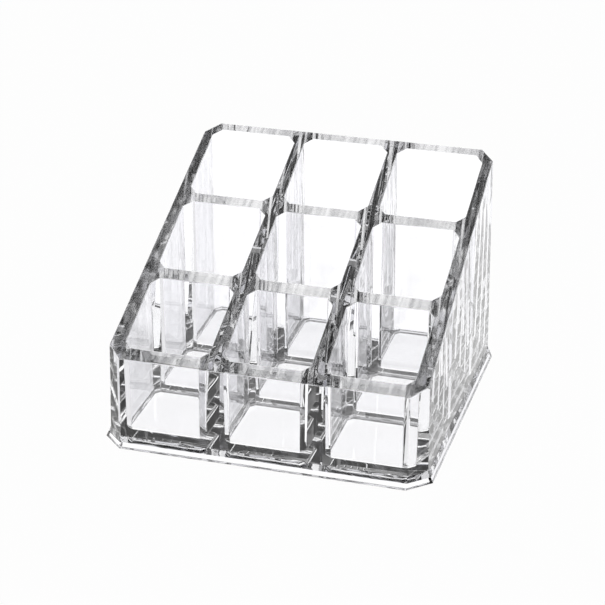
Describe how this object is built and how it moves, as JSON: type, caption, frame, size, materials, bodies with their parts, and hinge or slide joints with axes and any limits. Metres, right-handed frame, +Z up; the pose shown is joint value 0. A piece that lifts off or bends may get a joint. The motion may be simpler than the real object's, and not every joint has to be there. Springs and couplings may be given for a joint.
{
  "type": "makeup brush holder",
  "caption": "Clear square holder for upright makeup brushes: a grid of tapered open pockets under a rim sloping down to the front, on a flared hollow foot.",
  "frame": {"origin": "on the table, under the middle of the foot ring", "axes": "+Z up, -Y towards the low front of the sloping rim, +X to the right seen from the front"},
  "size_m": [0.094, 0.094, 0.0651],
  "materials": {
    "clear_body": "polished clear moulding",
    "clear_ring": "polished clear moulding"
  },
  "bodies": {
    "root": {"pocket_body": "clear_body", "foot_ring": "clear_ring"}
  },
  "joints": []
}
